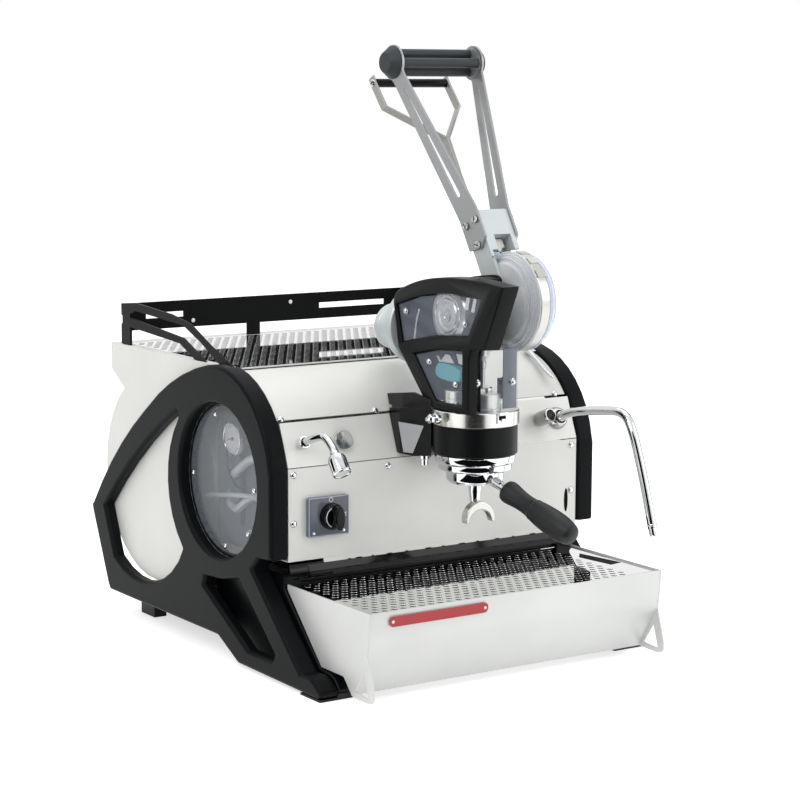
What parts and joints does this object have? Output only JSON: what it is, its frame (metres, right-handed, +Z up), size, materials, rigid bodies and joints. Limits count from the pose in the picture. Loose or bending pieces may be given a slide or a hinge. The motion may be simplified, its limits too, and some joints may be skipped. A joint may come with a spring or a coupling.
{
  "type": "lever espresso machine",
  "caption": "Countertop espresso machine with cast side frames, a round boiler housing, a lever group, a steam wand and a drip tray; the lever, portafilter and taps move.",
  "frame": {"origin": "middle of the footprint, on the ground", "axes": "+X to the machine's right seen from the front, +Y to its back, +Z up"},
  "size_m": [0.512, 0.7521, 0.7943],
  "materials": {
    "black_paint": "satin",
    "rubber": "matte",
    "steel": "polished",
    "chrome": "mirror",
    "aluminium": "brushed",
    "light_grey": "bead blasted",
    "black_plastic": "satin",
    "clear": "clear",
    "red_plate": "gloss",
    "copper": "polished"
  },
  "bodies": {
    "machine": {"side_frame_left": "black_paint", "side_frame_right": "black_paint", "inner_leg_left": "black_paint", "inner_leg_right": "black_paint", "chassis": "black_paint", "cup_rail": "black_paint", "gutter": "black_paint", "group_band": "black_paint", "group_neck": "black_paint", "toe_pad_left": "rubber", "toe_pad_right": "rubber", "side_panel_left": "steel", "side_panel_right": "steel", "front_panel_lower": "steel", "front_panel_middle": "steel", "front_panel_upper": "steel", "body_wrap": "steel", "boiler": "steel", "drip_tray": "steel", "lever_bracket": "steel", "group_ring": "steel", "pressure_gauge": "chrome", "spout_collar": "chrome", "steam_flange": "chrome", "group_bell": "chrome", "head_core": "aluminium", "water_hose": "aluminium", "inner_wall_left": "light_grey", "head_barrel": "light_grey", "switch_plate": "black_plastic", "head_cover_left": "black_plastic", "head_cover_right": "black_plastic", "side_pane_left": "clear", "side_pane_right": "clear", "head_pane_upper": "clear", "head_pane_lower": "clear", "front_glass": "clear", "badge_plate": "red_plate", "copper_pipe": "copper"},
    "lever": {"notched_wheel": "steel", "drum_cover_left": "clear", "drum_cover_right": "clear", "lever_yoke": "light_grey", "lever_arm_left": "aluminium", "lever_arm_right": "aluminium", "lever_grip": "black_plastic"},
    "bail": {"bail_straps": "aluminium", "bail_grip": "black_plastic"},
    "piston_rod": {"piston": "steel"},
    "portafilter": {"portafilter": "chrome", "portafilter_grip": "black_plastic"},
    "wand": {"steam_wand": "chrome"},
    "spout": {"water_spout": "chrome"},
    "button": {"flush_button": "chrome"},
    "switch": {"switch_knob": "black_plastic"},
    "steam_tap": {"steam_knob": "chrome"},
    "small_lever": {"steam_lever": "chrome"},
    "pan": {"drip_pan": "steel"},
    "grill": {"drip_grill": "steel"}
  },
  "joints": [
    {"name": "lever_pull", "type": "hinge", "parent": "machine", "child": "lever", "pos_m": [0.055, -0.21302, 0.471], "axis": [1, 0, 0], "range_deg": [0, 95], "stiffness_Nm_per_rad": 1.6, "springref_deg": -11.46},
    {"name": "bail_release", "type": "hinge", "parent": "lever", "child": "bail", "pos_m": [0.055, -0.12875, 0.56629], "axis": [1, 0, 0], "range_deg": [0, 8], "stiffness_Nm_per_rad": 0.8, "springref_deg": -14.32},
    {"name": "piston_slide", "type": "slide", "parent": "machine", "child": "piston_rod", "axis": [0, 0, 1], "range_m": [0, 0.033]},
    {"name": "portafilter_turn", "type": "hinge", "parent": "machine", "child": "portafilter", "pos_m": [0, -0.20803, 0.255], "axis": [0, 0, 1], "range_deg": [-60, 0]},
    {"name": "wand_swivel", "type": "hinge", "parent": "machine", "child": "wand", "pos_m": [0.201, -0.12652, 0.30058], "axis": [0, 0, 1], "range_deg": [-35, 45]},
    {"name": "spout_swivel", "type": "hinge", "parent": "machine", "child": "spout", "pos_m": [-0.203, -0.12746, 0.30094], "axis": [0, 0, 1], "range_deg": [-40, 40]},
    {"name": "button_push", "type": "slide", "parent": "machine", "child": "button", "axis": [0, 0.9325, -0.3613], "range_m": [0, 0.003], "stiffness_N_per_m": 300, "springref_m": -0.001},
    {"name": "switch_turn", "type": "hinge", "parent": "machine", "child": "switch", "pos_m": [-0.17, -0.13512, 0.2045], "axis": [0, 1, 0], "range_deg": [0, 90]},
    {"name": "steam_tap_turn", "type": "hinge", "parent": "machine", "child": "steam_tap", "pos_m": [0.17, -0.11627, 0.29661], "axis": [0, -0.9325, 0.3613], "range_deg": [0, 270]},
    {"name": "small_lever_flip", "type": "hinge", "parent": "machine", "child": "small_lever", "pos_m": [0.21, -0.02668, 0.38404], "axis": [1, 0, 0], "range_deg": [-20, 0]},
    {"name": "pan_lift", "type": "slide", "parent": "machine", "child": "pan", "axis": [0, 0, 1], "range_m": [0, 0.004]},
    {"name": "grill_lift", "type": "slide", "parent": "pan", "child": "grill", "axis": [0, 0, 1], "range_m": [0, 0.0045]}
  ],
  "couplings": [
    {"joint": "piston_slide", "follows": "lever_pull", "m_per_rad": 0.0195}
  ]
}
